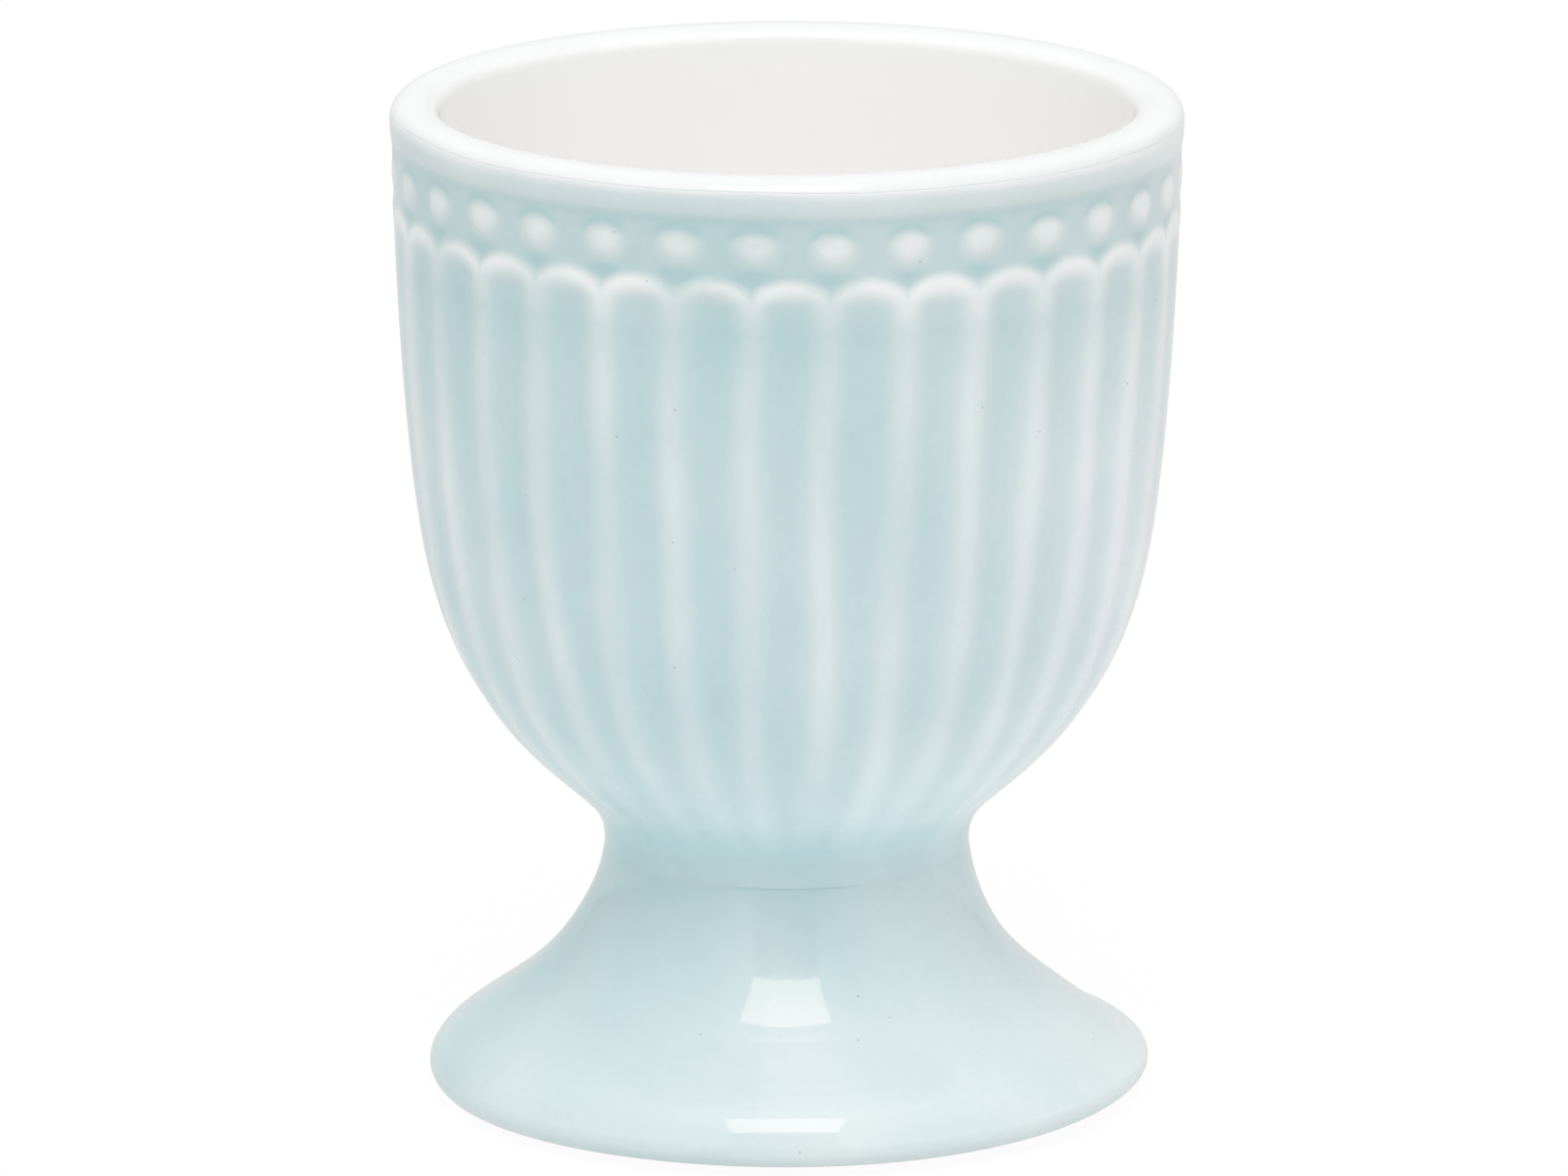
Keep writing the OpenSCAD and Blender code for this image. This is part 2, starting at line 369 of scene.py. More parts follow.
# The band's glaze takes over round the outline of the arches, and the
# collar's above a height
BAND_THICKNESS = 0.8
BAND_OVERLAP = 0.1
BAND_FADE = 0.95
COLLAR_GLAZE_Z = 61.7
COLLAR_GLAZE_FADE = 0.7
# Painted light: the glaze is drawn thinner, so paler, towards the right of the cup, and a little
# paler at both its sides as seen
PAINTED_LIGHT_RIGHT = 0.14
PAINTED_LIGHT_SIDES = 0.2
FOOT_PAINTED_LIGHT_RIGHT = 0.11
PAINTED_LIGHT_FADE = 9.0
# How much it differs in clouds round the whole cup
CLOUDS = 0.05
# Places by a bead, from its middle. The pool lies under it and reaches down
# between two arches
POOL_DEEPENS = 0.3
POOL_FALL = 1.8
POOL_LEFT = 0.2
POOL_HALF_W = 1.1
POOL_UP = 0.45
POOL_DOWN = 0.68
# The film on a bead is palest above its middle, with an even core; its rise above the middle is
# partly painted light from above
BEAD_THICKNESS = 0.3
FILM_PAINTED_LIGHT_RISE = 0.4
FILM_HALF_W = 2.1
FILM_UP = 1.03
FILM_DOWN = 2.3
FILM_CORE = 0.2
# A dark line of glaze runs over the top of a bead
LINE_DEEPENS = 0.25
LINE_R = 1.5
LINE_LEFT = 0.12
LINE_INSIDE = 0.18
LINE_OUTSIDE = 0.36
LINE_LOW = 0.2
LINE_FADE = 1.1


def clouds(angle, z):
    return CLOUDS * cloud_waves(angle, z)


def bead_glaze(thick, off, rise):
    """The glaze of the wall with the pool, the film and the line of a bead."""
    fall = rise + POOL_FALL
    pool = bell(off + POOL_LEFT, POOL_HALF_W) * bell(fall, np.where(fall > 0, POOL_UP, POOL_DOWN))
    thick = thick + POOL_DEEPENS * pool
    # The pale spot sits above the middle partly as painted light from above
    above = rise - FILM_PAINTED_LIGHT_RISE
    film = np.hypot(off / FILM_HALF_W, above / np.where(above > 0, FILM_UP, FILM_DOWN))
    thick = blend(BEAD_THICKNESS, thick, ramp((film - FILM_CORE) / (1 - FILM_CORE)))
    out = np.hypot(off + LINE_LEFT, rise) - LINE_R
    line = bell(out, np.where(out > 0, LINE_OUTSIDE, LINE_INSIDE))
    return thick + LINE_DEEPENS * line * ramp((rise - LINE_LOW) / LINE_FADE)


def bowl_glaze(angle, z):
    pattern_z = z - lean(angle, z)
    beyond = flute_place(angle, z)[1]
    ridge = at_height(ridge_thinning, pattern_z) * np.exp(
        -(np.maximum(-beyond, 0) / RIDGE_HALF_W) ** RIDGE_POWER)
    thick = at_height(hollow_thickness, pattern_z) - ridge * (
        1 + RIDGE_UNEVEN * ridge_waves(angle, z))
    thick = blend(thick, BAND_THICKNESS, ramp((beyond + BAND_OVERLAP) / BAND_FADE))
    thick = bead_glaze(thick, *bead_place(angle, z))
    thick = blend(thick, at_height(collar_thickness, pattern_z),
                  ramp((pattern_z - COLLAR_GLAZE_Z) / COLLAR_GLAZE_FADE))
    # Painted light: paler to the right and at both sides as seen, faded in above the waist
    side = np.cos(angle)
    bowl_share = ramp((z - slip_top_z) / PAINTED_LIGHT_FADE)
    thin = blend(FOOT_PAINTED_LIGHT_RIGHT, PAINTED_LIGHT_RIGHT, bowl_share) * side
    return thick + clouds(angle, z) - thin - PAINTED_LIGHT_SIDES * bowl_share * side ** 2


def foot_glaze(angle, z):
    side = np.cos(angle)
    # Painted light and shade: darker at the sides as seen up the foot, paler at its bottom edge and
    # to the right
    sides = at_height(foot_side_painted_shading, z) * side ** 2 - FOOT_PAINTED_LIGHT_RIGHT * side
    front = FOOT_FRONT_THIN * ramp((FRONT_TOP_Z - z) / FRONT_FADE) * bell(
        angle + math.pi / 2 - FRONT_TURN, FRONT_HALF_TURN)
    return at_height(foot_thickness, z) + sides - front + clouds(angle, z)


# Meshes from rings of points round the axis

def new_piece(name, verts, faces, glaze=None):
    """Smooth object of a mesh in mm, with the thickness of its glaze at each point."""
    mesh = bpy.data.meshes.new(name)
    mesh.from_pydata((np.array(verts) * MM).tolist(), [], faces)
    mesh.polygons.foreach_set("use_smooth", [True] * len(mesh.polygons))
    if glaze is not None:
        layer = mesh.attributes.new("glaze", "FLOAT", "POINT")
        layer.data.foreach_set("value", np.asarray(glaze, dtype=np.float32))
    piece = bpy.data.objects.new(name, mesh)
    bpy.context.collection.objects.link(piece)
    return piece


def ring_mesh(name, rings, glaze=None, first_pole=None, last_pole=None, loop=False):
    """Closed mesh from rings of points round the cup, closed by poles or as a loop.

    A ring round a flat end is sharp, so that the end doesn't shade the outside.
    """
    count, cols = rings.shape[:2]
    verts = rings.reshape(-1, 3)
    values = None if glaze is None else glaze.reshape(-1)
    c = np.arange(cols)
    d = (c + 1) % cols
    faces = []
    for i in range(count if loop else count - 1):
        a, b = i * cols, (i + 1) % count * cols
        faces += np.column_stack([a + c, a + d, b + d, b + c]).tolist()
    flat = []
    for pole, at in ((first_pole, 0), (last_pole, (count - 1) * cols)):
        if pole is None:
            continue
        if np.ptp([*verts[at:at + cols, 2], pole[2]]) < TINY:
            flat.append(at)
        middle = np.full(cols, len(verts))
        verts = np.concatenate([verts, [pole]])
        if values is not None:
            values = np.append(values, values[at])
        pair = (at + c, at + d) if at else (at + d, at + c)
        faces += np.column_stack([*pair, middle]).tolist()
    piece = new_piece(name, verts, faces, values)
    edges = np.zeros(len(piece.data.edges) * 2, dtype=np.int32)
    piece.data.edges.foreach_get("vertices", edges)
    low, high = edges.reshape(-1, 2).min(axis=1), edges.reshape(-1, 2).max(axis=1)
    round_end = np.zeros(len(low), dtype=bool)
    for at in flat:
        round_end |= (low >= at) & (high < at + cols)
    sharp = piece.data.attributes.new("sharp_edge", "BOOLEAN", "EDGE")
    sharp.data.foreach_set("value", round_end)
    return piece


def angles(cols):
    """Angles of the columns round the cup, from half a flute short of -Y."""
    return np.radians(np.arange(cols) * 360 / cols - 90 - 180 / FLUTES)


def place(radius, z, angle):
    """Points at a radius, a height and an angle, of which any may be a single number."""
    radius, z, angle = np.broadcast_arrays(radius, z, angle)
    return np.stack([radius * np.cos(angle), radius * np.sin(angle), z], axis=-1)


class Rings:
    """Rings round the cup that grow into a mesh, each with the thickness of its glaze."""

    def __init__(self, cols):
        self.angle = angles(cols)
        self.points = []
        self.glaze = []

    def add(self, radius, z, glaze=0.0):
        self.points.append(place(radius, z, self.angle))
        self.glaze.append(np.broadcast_to(glaze, self.angle.shape))

    def mesh(self, name, **ends):
        return ring_mesh(name, np.array(self.points), np.array(self.glaze), **ends)


# The pieces

BOWL_COLS = FLUTES * 20
PLAIN_COLS = 256


def lining_edge(angle):
    """Angle on the lip's round at which the white glaze ends."""
    tilt = RELIEF_LEAN * lip_r * np.cos(angle)
    return np.radians(LINING_ANGLE) + (tilt + EDGE_WAVER * edge_waves(angle, 0)) / LIP_H


def lip_point(turn, back):
    """A point on the round of the lip, set back into it."""
    across, up = np.cos(turn), np.sin(turn)
    fuller = (np.abs(across) ** LIP_POWER + np.abs(up) ** LIP_POWER) ** (-1 / LIP_POWER)
    return (lip_r + (WALL / 2 - back) * across * fuller,
            lip_z + (LIP_H - back) * up * fuller)


# How deep the crease is where the blue glaze meets the white
CREASE = 0.02
CREASE_LIP = 0.01
# The bowl has close rings from this far under the arches up to the lip
FINE_BELOW = 2.0
FINE_RINGS = 62
# Rings of blue glaze up to the white one's edge, as a share of the way there
# and how far each is set back, and the angles of those hidden under the white
edge_rings = [(0.4, 0), (0.8, 0), (0.93, CREASE_LIP), (1, CREASE), (1, LINING_T)]
under_lip_turns = np.radians([60, 90, 135, 180])
# A curve of the cavity from its lip down, without its two ends
DOWN_INSIDE = slice(-2, 0, -1)


def make_bowl():
    rings = Rings(BOWL_COLS)
    angle = rings.angle
    fine_z = arch_z - FINE_BELOW
    low_z = bowl_curve[bowl_curve[:, 1] < fine_z, 1]
    for z in np.concatenate([low_z, np.linspace(fine_z, lip_z, FINE_RINGS)]):
        heights = np.full(BOWL_COLS, z)
        rings.add(wall_radius(wall_map, angle, heights), heights, bowl_glaze(angle, heights))
    edge = lining_edge(angle)
    for share, back in edge_rings:
        radius, z = lip_point(edge * share, back)
        rings.add(radius, z, bowl_glaze(angle, z))
    for turn in under_lip_turns:
        rings.add(*lip_point(turn, LINING_T))
    for radius, z in cavity_curve(LINING_T, 1)[DOWN_INSIDE]:
        rings.add(radius, z)
    return rings.mesh("fluted_bowl", first_pole=(0, 0, slip_top_z),
                      last_pole=(0, 0, floor_z - LINING_T))


# The lining is a closed skin whose back lies just off the bowl
LINING_CLEARANCE = 0.02
LINING_POLE_R = 0.3
LIP_RINGS = 26
CAVITY_STEPS = 5
# How deep in the cup the white glaze counts as being, which sets its painted light, brighter inside:
# from 0 at its edge outside, over the lip, to 1 inside. The edge's rings give a turn past it in
# degrees, how far each is set back, and the depth.
LIP_DEPTH = 0.2
INNER_LIP_DEPTH = 0.6
lining_edge_rings = [(0, CREASE, 0), (1, CREASE_LIP, 0), (3, 0, LIP_DEPTH / 2), (6, 0, LIP_DEPTH)]
# Shares of the way over the lip: where its even rings start, and from where to how much further the
# painted light turns to the inner lip's
LIP_START = 0.14
INNER_LIP_START = 0.6
INNER_LIP_FADE = 0.3
# The lip is painted brighter, as if deeper, at the two sides of the cup as seen, until this share is
# left
LIP_SIDES_PAINTED_LIGHT = 0.17
SIDES_FADE = 0.4
# Height under the lip, in mm, over which the painted light turns to that of the inside
INSIDE_FADE = 5.0
back_lip_turns = np.radians([150, 110, 80, 50])


def make_lining():
    rings = Rings(PLAIN_COLS)
    edge = lining_edge(rings.angle)
    # Painted light: the lip is counted deeper, so painted brighter, at its two sides as seen
    sides = LIP_SIDES_PAINTED_LIGHT * np.cos(rings.angle) ** 2
    hidden = LINING_T - LINING_CLEARANCE
    rings.add(*lip_point(edge, hidden))
    for turn, back, depth in lining_edge_rings:
        rings.add(*lip_point(edge + math.radians(turn), back), depth)
    for share in np.linspace(LIP_START, 1, LIP_RINGS):
        depth = blend(LIP_DEPTH, INNER_LIP_DEPTH, ramp((share - INNER_LIP_START) / INNER_LIP_FADE))
        rings.add(*lip_point(edge + (math.pi - edge) * share, 0),
                  depth + sides * ramp((1 - share) / SIDES_FADE))
    for radius, z in cavity_curve(0, CAVITY_STEPS)[DOWN_INSIDE]:
        rings.add(radius, z, blend(1, INNER_LIP_DEPTH, ramp((z - lip_z) / INSIDE_FADE + 1)))
    for back in (0, hidden):
        rings.add(LINING_POLE_R, floor_z - back, 1)
    for radius, z in cavity_curve(hidden, 1)[1:]:
        rings.add(radius, z, 1)
    for turn in back_lip_turns:
        rings.add(*lip_point(turn, hidden))
    return rings.mesh("white_lining", loop=True)


# A bead's mesh: its points round each ring, its rings from the middle out to
# the skirt and how far they stand off the wall, then the skirt's rings, as how
# far inside its reach each lies and how far it stands off, below 0 hidden
BEAD_ROUND = 28
BEAD_RINGS = 13
BEAD_FIRST_R = 0.14
BEAD_STAND = 0.009
# Reach of the whole, with the smile of glaze round the bead's foot, the width
# of the skirt at its rim, and how far its back lies inside the band's floor
BEAD_SKIRT_R = 2.1
BEAD_SKIRT_W = 0.42
BEAD_BACK = 0.12
skirt_rings = [(0.28, 0.004), (0.14, -0.004), (0, -0.01), (-0.04, -0.04), (-0.04, -BEAD_BACK)]


def make_beads():
    """Beads with a skirt that dips under the wall round each of them."""
    phi = np.arange(BEAD_ROUND) * 2 * math.pi / BEAD_ROUND
    reaches = np.linspace(BEAD_FIRST_R, BEAD_SKIRT_R - BEAD_SKIRT_W, BEAD_RINGS)
    rings = [(0.0, BEAD_STAND), *((reach, BEAD_STAND) for reach in reaches)]
    rings += [(BEAD_SKIRT_R - inside, stand) for inside, stand in skirt_rings]
    verts, faces, glaze = [], [], []
    for index in range(FLUTES):
        middle = bead_angle(index)
        centre_z = bead_z + lean(middle, bead_z)
        base = len(verts)
        for distance, stand in rings:
            turn = phi if distance else np.zeros(1)
            z = centre_z + distance * np.sin(turn)
            angle = middle + distance * np.cos(turn) / bowl_radius(z)
            radius = wall_radius(beaded_map, angle, z) + stand
            verts += place(radius, z, angle).tolist()
            glaze += bowl_glaze(angle, z).tolist()
        back = len(verts)
        back_r = bowl_radius(centre_z) - BAND_DEPTH - BEAD_BACK
        verts += place(back_r, centre_z, [middle]).tolist()
        glaze.append(0.0)
        last = back - BEAD_ROUND
        for k in range(BEAD_ROUND):
            j = (k + 1) % BEAD_ROUND
            faces.append([base, base + 1 + k, base + 1 + j])
            for a in range(base + 1, last, BEAD_ROUND):
                faces.append([a + k, a + BEAD_ROUND + k, a + BEAD_ROUND + j, a + j])
            faces.append([last + k, back, last + j])
    return new_piece("bead_row_glazed", verts, faces, glaze)


# How much wider than the waist the joint is at the top of the foot
JOINT_SPREAD = 0.04
JOINT_RINGS = 9
# A painted shade line in the joint's crease, drawn as more glaze, lies round a share of its height,
# and only in front, where it fades in as minus the sine of the angle passes a limit
JOINT_PAINTED_SHADE = 0.3
JOINT_LINE_SHARE = 0.25
JOINT_LINE_HALF_H = 0.18
JOINT_LINE_FRONT = 0.9
JOINT_LINE_FADE = 0.08


def make_slip():
    """The joint is a soft bend under the glaze, from upright to the slope of the foot."""
    rings = Rings(PLAIN_COLS)
    front = ramp((-np.sin(rings.angle) - JOINT_LINE_FRONT) / JOINT_LINE_FADE)
    for share in np.linspace(0, 1, JOINT_RINGS):
        z = blend(slip_low_z, slip_top_z, share)
        # Painted shade of the crease, drawn as more glaze
        line = JOINT_PAINTED_SHADE * bell(share - JOINT_LINE_SHARE, JOINT_LINE_HALF_H) * front
        rings.add(waist_r + (1 - share) ** 2 * JOINT_SPREAD, z, foot_glaze(rings.angle, z) + line)
    return rings.mesh("waist_slip", first_pole=(0, 0, slip_low_z), last_pole=(0, 0, slip_top_z))


# The foot isn't quite round: it has one outline on its left, one on its right
# and one at its front. Shares of the way from the waist to the edge radius at
# shares of the height from the edge to the joint, then how far the edge
# reaches past the edge radius, the height of its middle, its own radius, the
# angle at which its round starts, and the length of the shoulder that runs
# into it.
flare_height_shares = [1, 0.86, 0.673, 0.503, 0.352, 0.246]
FLARE_BASE_Z = 1.65
FOOT_LEFT = dict(shares=[0.0035, 0.034, 0.149, 0.295, 0.494, 0.685],
                 reach=-0.18, middle_z=1.52, edge_r=1.34, slope=29.6, shoulder=1.21)
FOOT_FRONT = dict(shares=[0.0035, 0.037, 0.141, 0.275, 0.449, 0.661],
                  reach=-0.1, middle_z=1.68, edge_r=1.07, slope=28.0, shoulder=2.39)
FOOT_RIGHT = dict(shares=[0.0035, 0.032, 0.115, 0.25, 0.456, 0.619],
                  reach=0.1, middle_z=1.79, edge_r=0.72, slope=72.4, shoulder=0.91)
EDGE_STEPS = 24
HOLLOW_STEPS = 4
# No point of the foot lies lower than this. Its flat underside starts this
# far outside the bare ring, and has two rings of points this far within it
FOOT_LOWEST = 0.3
UNDERSIDE_OUT = 0.4
UNDERSIDE_IN = 0.3


def foot_outline(form):
    """Outside of the foot on one side, from the joint to the underside."""
    edge_mid_r = foot_r + form["reach"] - form["edge_r"]
    edge = arc(edge_mid_r, form["middle_z"], form["edge_r"], form["slope"], -90, EDGE_STEPS)
    slope = math.radians(form["slope"])
    shoulder = edge[0] + form["shoulder"] * np.array([-math.sin(slope), math.cos(slope)])
    flare = [(waist_r + (foot_r - waist_r) * s, FLARE_BASE_Z + (slip_low_z - FLARE_BASE_Z) * t)
             for s, t in zip(form["shares"], flare_height_shares)]
    outline = curve(flare + [tuple(shoulder), tuple(edge[0])], CURVE_STEPS)
    return np.concatenate([outline, edge[1:], [(ring_r + UNDERSIDE_OUT, ring_h)]])


def make_foot():
    rings = Rings(PLAIN_COLS)
    angle = rings.angle
    hollow_r = ring_r - RING_W
    hollow_h = slip_low_z - FOOT_WEB - ring_h
    hollow = curve([(hollow_r * s, ring_h + hollow_h * t) for s, t in hollow_shares], HOLLOW_STEPS)
    underside = [(ring_r - UNDERSIDE_IN, ring_h), (hollow_r + UNDERSIDE_IN, ring_h)]
    left, front, right = (foot_outline(form) for form in (FOOT_LEFT, FOOT_FRONT, FOOT_RIGHT))
    # Shares of the three outlines in the one at each angle
    to_front = np.maximum(-np.sin(angle), 0)[:, None] ** 2
    to_right = (1 + np.cos(angle)[:, None]) / 2 * (1 - to_front)
    to_left = 1 - to_front - to_right
    for a, b, c in zip(left, front, right):
        radius, z = (to_left * a + to_front * b + to_right * c).T
        rings.add(radius, np.maximum(z, FOOT_LOWEST), foot_glaze(angle, z))
    for radius, z in [*underside, *hollow[:-1]]:
        rings.add(radius, z, foot_glaze(angle, ring_h))
    return rings.mesh("flared_foot", first_pole=(0, 0, slip_low_z),
                      last_pole=(0, 0, hollow[-1][1]))


CORNER_STEPS = 4


def make_ring():
    inner = ring_r - RING_W
    low = arc(inner + RING_CORNER, RING_CORNER, RING_CORNER, 180, 270, CORNER_STEPS)
    side = arc(ring_r - RING_CORNER, RING_CORNER, RING_CORNER, -90, 0, CORNER_STEPS)
    profile = [(inner, ring_h), (inner, ring_h / 2), *low.tolist(), *side.tolist(),
               (ring_r, ring_h / 2), (ring_r, ring_h)]
    angle = angles(PLAIN_COLS)
    rings = np.array([place(radius, z, angle) for radius, z in profile])
    return ring_mesh("bare_ring", rings, loop=True)


# Materials

def srgb(red, green, blue):
    """A colour as it is seen, from 0 to 255, turned into Blender's linear one."""
    def linear(c):
        c /= 255
        return c / 12.92 if c <= 0.04045 else ((c + 0.055) / 1.055) ** 2.4
    return linear(red), linear(green), linear(blue), 1


BLACK = (0, 0, 0, 1)
WHITE = (1, 1, 1, 1)
SMOOTH = {"interpolation_type": "SMOOTHSTEP"}
# Share of a pinhole's size that is fully dark
PINHOLE_CORE = 0.4


class Nodes:
    """Short way to add nodes to a new material or world and join them."""

    def __init__(self, owner, output="OutputMaterial"):
        self.owner = owner
        owner.use_nodes = True
        self.tree = owner.node_tree
        self.tree.nodes.clear()
        self.output = self.add(output)

    def put(self, value, socket):
        """Join another socket to a socket, or give it a value of its own."""
        if isinstance(value, bpy.types.NodeSocket):
            self.tree.links.new(value, socket)
        else:
            socket.default_value = value

    def add(self, kind, settings=None, **inputs):
        node = self.tree.nodes.new("ShaderNode" + kind)
        for key, value in (settings or {}).items():
            setattr(node, key, value)
        for key, value in inputs.items():
            self.put(value, node.inputs[key.replace("_", " ")])
        return node

    def maths(self, operation, *values):
        node = self.add("Math", {"operation": operation})
        for socket, value in zip(node.inputs, values):
            self.put(value, socket)
        return node.outputs[0]

    def mix(self, factor, a, b, blend_type="MIX"):
        """Mix of two colours: inputs 6 and 7 of the node, and its output 2."""
        node = self.add("Mix", {"data_type": "RGBA", "blend_type": blend_type})
        for index, value in ((0, factor), (6, a), (7, b)):
            self.put(value, node.inputs[index])
        return node.outputs[2]

    def ramp(self, value, stops):
        node = self.add("ValToRGB", Fac=value)
        elements = node.color_ramp.elements
        while len(elements) < len(stops):
            elements.new(0.5)
        for element, (at, colour) in zip(elements, stops):
            element.position = at
            element.color = colour
        return node.outputs[0]

    def noise(self, coords, scale, detail):
        return self.add("TexNoise", Vector=coords, Scale=scale, Detail=detail).outputs[0]

    def centred_noise(self, coords, scale, detail, amount):
        """Noise to both sides of nothing."""
        noise = self.maths("SUBTRACT", self.noise(coords, scale, detail), 0.5)
        return self.maths("MULTIPLY", noise, amount)

    def pinholes(self, coords, scale, size, share):
        """Mask of tiny dots, in a given share of the cells of a scattered grid."""
        cells = self.add("TexVoronoi", Vector=coords, Scale=scale)
        dot = self.add("MapRange", SMOOTH, Value=cells.outputs["Distance"], From_Min=size,
                       From_Max=size * PINHOLE_CORE, To_Min=0.0, To_Max=1.0).outputs[0]
        cell_value = self.add("SeparateColor", Color=cells.outputs["Color"]).outputs[0]
        return self.maths("MULTIPLY", dot, self.maths("LESS_THAN", cell_value, share))

    def surface(self, coords, colour, height, bump, bump_h, rough_scale, rough_low, rough_high):
        """The material's surface, with a bump of a strength and a height in mm."""
        normal = self.add("Bump", Height=height, Strength=bump, Distance=bump_h * MM).outputs[0]
        rough = self.add("MapRange", Value=self.noise(coords, rough_scale, detail=3),
                         To_Min=rough_low, To_Max=rough_high).outputs[0]
        shader = self.add("BsdfPrincipled", Base_Color=colour, Roughness=rough, Normal=normal,
                          IOR=1.5)
        return self.finish(shader.outputs[0])

    def finish(self, shader):
        self.put(shader, self.output.inputs["Surface"])
        return self.owner


bowl_stops = [
    (0.0, srgb(238, 252, 253)), (0.25, srgb(226, 243, 245)), (0.5, srgb(209, 231, 234)),
    (0.75, srgb(193, 223, 227)), (1.0, srgb(177, 215, 219))]
foot_stops = [
    (0.0, srgb(232, 239, 240)), (0.25, srgb(220, 232, 234)), (0.5, srgb(203, 223, 226)),
    (0.75, srgb(187, 215, 219)), (1.0, srgb(170, 207, 212))]
# Share of red, green and blue that the glaze keeps at heights in mm. This is partly its own tint and
# partly painted light and shade: it is purest round the bottom of the bowl and greyest under the lip
bowl_tint_and_painted_light = [
    (16.3, (0.895, 0.915, 0.925)), (18.5, (0.87, 0.945, 0.945)), (22, (0.97, 0.96, 0.965)),
    (26, (0.965, 0.925, 0.925)), (33, (0.963, 0.897, 0.897)), (38, (0.957, 0.884, 0.886)),
    (44, (0.942, 0.873, 0.868)), (52, (0.928, 0.86, 0.85)), (61, (0.927, 0.835, 0.82)),
    (64, (0.922, 0.831, 0.82))]
# The foot's, likewise partly its own tint and partly painted light and shade
foot_tint_and_painted_light = [
    (1, (1, 0.976, 0.962)), (3, (0.995, 0.976, 0.966)), (7, (0.984, 0.966, 0.957)),
    (10, (0.959, 0.957, 0.948)), (13, (0.969, 0.966, 0.967)), (15.5, (0.964, 0.985, 0.981))]
PINHOLE = srgb(130, 140, 138)
PINHOLE_SHOWS = 0.5
WHITE_PINHOLE = srgb(170, 160, 150)
WHITE_PINHOLE_SHOWS = 0.4
# The white glaze's thin edge, greyed as a painted shadow of the crease where it meets the blue
THIN_WHITE_CREASE_SHADE = srgb(222, 229, 229)
# Painted light: darker over the lip, at 0.2, where the light falls full on it, and brighter inside
white_painted_light_stops = [
    (0.2, srgb(230, 233, 232)), (0.6, srgb(250, 251, 251)), (0.95, srgb(251, 250, 249))]
clay_stops = [(0.35, srgb(206, 198, 188)), (0.65, srgb(232, 227, 220))]
# How the blue glaze's roughness varies round its own value
SMOOTHEST = 0.8
ROUGHEST = 1.5


def blue_glaze(name, stops, tint_and_painted_light, cloud_scale=130, cloudy=0.25, roughness=0.06):
    """Glaze that is pale where it lies thin and blue where it lies thick."""
    nodes = Nodes(bpy.data.materials.new(name))
    coords = nodes.add("TexCoord").outputs["Object"]
    thick = nodes.add("Attribute", {"attribute_name": "glaze"}).outputs["Fac"]
    thick = nodes.maths("ADD", thick, nodes.centred_noise(coords, cloud_scale, 4, cloudy))
    grain = nodes.centred_noise(coords, scale=1500, detail=3, amount=0.12)
    thick = nodes.maths("ADD", thick, grain)
    height = nodes.add("SeparateXYZ", Vector=coords).outputs[2]
    share = nodes.maths("DIVIDE", height, cup_h * MM)
    # Tint by height, partly the glaze's own and partly painted light and shade
    shade = nodes.ramp(share, [(z / cup_h, (*kept_light, 1)) for z, kept_light in tint_and_painted_light])
    colour = nodes.mix(1.0, nodes.ramp(thick, stops), shade, "MULTIPLY")
    holes = nodes.pinholes(coords, scale=520, size=0.06, share=0.3)
    colour = nodes.mix(nodes.maths("MULTIPLY", holes, PINHOLE_SHOWS), colour, PINHOLE)
    height = nodes.maths("SUBTRACT", nodes.noise(coords, scale=900, detail=3), holes)
    return nodes.surface(coords, colour, height, bump=0.25, bump_h=0.02, rough_scale=400,
                         rough_low=roughness * SMOOTHEST, rough_high=roughness * ROUGHEST)


def white_glaze():
    """White glaze with painted light: darker and cooler over the lip, where the light falls full on
    it, brighter and a little warmer inside.
    """
    nodes = Nodes(bpy.data.materials.new("white_glaze_coat"))
    coords = nodes.add("TexCoord").outputs["Object"]
    depth = nodes.add("Attribute", {"attribute_name": "glaze"}).outputs["Fac"]
    cloud = nodes.centred_noise(coords, scale=160, detail=4, amount=0.2)
    # The depth sets the painted light; the thinnest edge takes the crease's painted shadow
    covered = nodes.ramp(depth, [(0.02, BLACK), (0.12, WHITE)])
    colour = nodes.mix(covered, THIN_WHITE_CREASE_SHADE, nodes.ramp(nodes.maths("ADD", depth, cloud), white_painted_light_stops))
    holes = nodes.pinholes(coords, scale=420, size=0.05, share=0.15)
    colour = nodes.mix(nodes.maths("MULTIPLY", holes, WHITE_PINHOLE_SHOWS), colour, WHITE_PINHOLE)
    height = nodes.maths("SUBTRACT", nodes.noise(coords, scale=700, detail=3), holes)
    return nodes.surface(coords, colour, height, bump=0.2, bump_h=0.02, rough_scale=400,
                         rough_low=0.07, rough_high=0.15)


def bare_clay():
    nodes = Nodes(bpy.data.materials.new("bare_ring_clay"))
    coords = nodes.add("TexCoord").outputs["Object"]
    patches = nodes.maths("MULTIPLY", nodes.noise(coords, scale=260, detail=4), 0.6)
    grains = nodes.maths("MULTIPLY", nodes.noise(coords, scale=2600, detail=3), 0.4)
    colour = nodes.ramp(nodes.maths("ADD", patches, grains), clay_stops)
    height = nodes.noise(coords, scale=2600, detail=4)
    return nodes.surface(coords, colour, height, bump=0.5, bump_h=0.05, rough_scale=900,
                         rough_low=0.6, rough_high=0.85)


def dress(piece, material, slot, *nodes):
    piece.data.materials.append(material)
    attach(piece, "root")
    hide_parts(*nodes)


# Studio: floor, light and camera, in metres

FLOOR_SIZE = 6.0
CAMERA_AWAY = 0.8
CAMERA_UP = 0.23296
CAMERA_AZIMUTH = -1.15
CAMERA_PITCH = 14.05
CAMERA_YAW = 0.013
CAMERA_CLIP = (0.05, 20.0)
